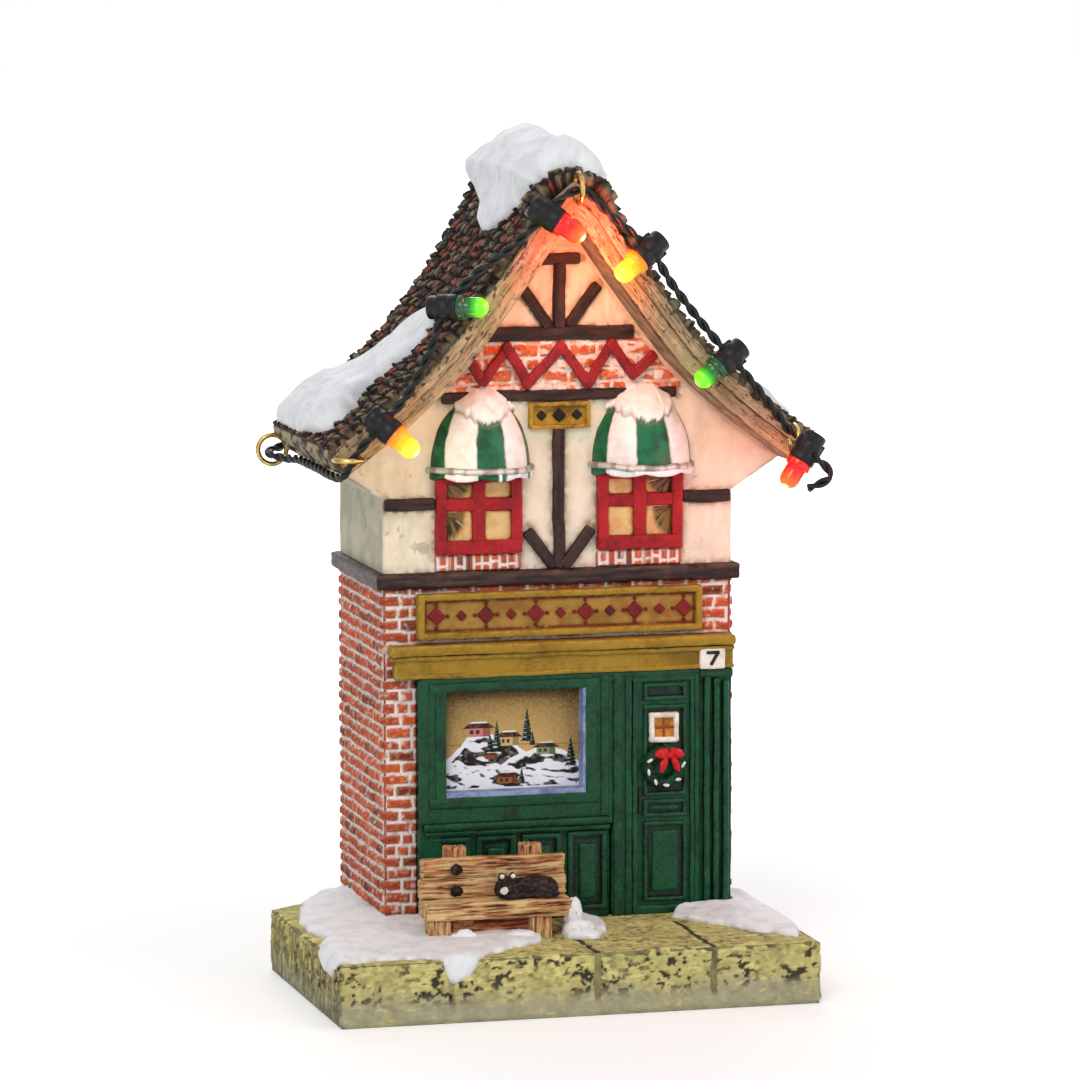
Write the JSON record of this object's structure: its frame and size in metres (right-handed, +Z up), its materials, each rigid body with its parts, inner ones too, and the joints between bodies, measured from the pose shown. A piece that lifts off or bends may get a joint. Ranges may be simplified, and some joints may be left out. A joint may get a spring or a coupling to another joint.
{
  "type": "lit christmas village shop house",
  "caption": "Tabletop Christmas village shop house with snowy gabled roof, awnings, bench and a battery fairy light string hung on its gable.",
  "frame": {"origin": "middle of the base slab's underside, on the surface the house stands on", "axes": "+X to the house's right as seen from the front, +Y from front to back, +Z up"},
  "size_m": [0.0774, 0.0617, 0.1261],
  "materials": {
    "base_stone": "matt, sponged",
    "snow": "matt",
    "brick": "matt",
    "shop_green": "satin",
    "liner": "matt",
    "card": "printed card",
    "pane_cream": "matt",
    "wreath_green": "matt",
    "red": "satin",
    "ochre": "satin",
    "sign_tan": "satin",
    "dark_red": "matt",
    "plate_white": "matt",
    "bench_tan": "matt, carved grain",
    "bench_brown": "matt",
    "dark_fur": "matt",
    "dark_timber": "matt",
    "plaster": "matt",
    "gold": "matt",
    "amber_pane": "satin",
    "awning_paint": "striped, satin",
    "silver_paint": "metallic",
    "shingle": "rough",
    "barge_wood": "matt",
    "brass": "bright",
    "cord_green": "matt",
    "holder_black": "satin",
    "lamp_amber": "lit",
    "lamp_green": "lit",
    "lamp_red": "lit",
    "box_black": "fine grain",
    "steel": "bright",
    "switch_black": "matt"
  },
  "bodies": {
    "house": {"base_plinth": "base_stone", "snow_left": "snow", "snow_right": "snow", "lower_walls": "brick", "shopfront_frame": "shop_green", "stall_riser": "shop_green", "window_sill": "shop_green", "window_liner": "liner", "window_card": "card", "door_leaf": "shop_green", "door_window": "pane_cream", "wreath": "wreath_green", "wreath_bow": "red", "ribbed_pilaster": "shop_green", "fascia": "ochre", "sign_board": "sign_tan", "sign_ornaments": "dark_red", "number_plate": "plate_white", "bench_back": "bench_tan", "bench_seat": "bench_tan", "bench_frame": "bench_brown", "sleeping_cat": "dark_fur", "string_course": "dark_timber", "upper_walls": "plaster", "gable_timbers": "dark_timber", "frieze_bricks": "brick", "frieze_zigzag": "red", "wall_timbers": "dark_timber", "plaque": "gold", "window_frame_left": "red", "window_frame_right": "red", "window_panes": "amber_pane", "brick_aprons": "brick", "awning_left": "awning_paint", "awning_right": "awning_paint", "awning_rails": "silver_paint", "awning_snow": "snow", "roof_left": "shingle", "roof_right": "shingle", "barge_left": "barge_wood", "barge_right": "barge_wood", "ridge_snow": "snow", "roof_snow_left": "snow", "roof_snow_right": "snow", "screw_eyes": "brass", "light_cord": "cord_green", "bulb_holders": "holder_black", "lamps_amber": "lamp_amber", "lamps_green": "lamp_green", "lamps_red": "lamp_red", "cord_grommet": "holder_black", "inner_lead": "cord_green", "battery_box": "box_black", "button_cells": "steel", "cell_contacts": "brass", "box_screws": "steel", "switch_body": "switch_black"},
    "lid": {"battery_lid": "box_black"},
    "knob": {"switch_knob": "switch_black"}
  },
  "joints": [
    {"name": "lid_hinge", "type": "hinge", "parent": "house", "child": "lid", "pos_m": [-0.0183, 0.0136, 0.0015], "axis": [0, 1, 0], "range_deg": [0, 100]},
    {"name": "knob_slide", "type": "slide", "parent": "house", "child": "knob", "axis": [1, 0, 0], "range_m": [0, 0.003]}
  ]
}
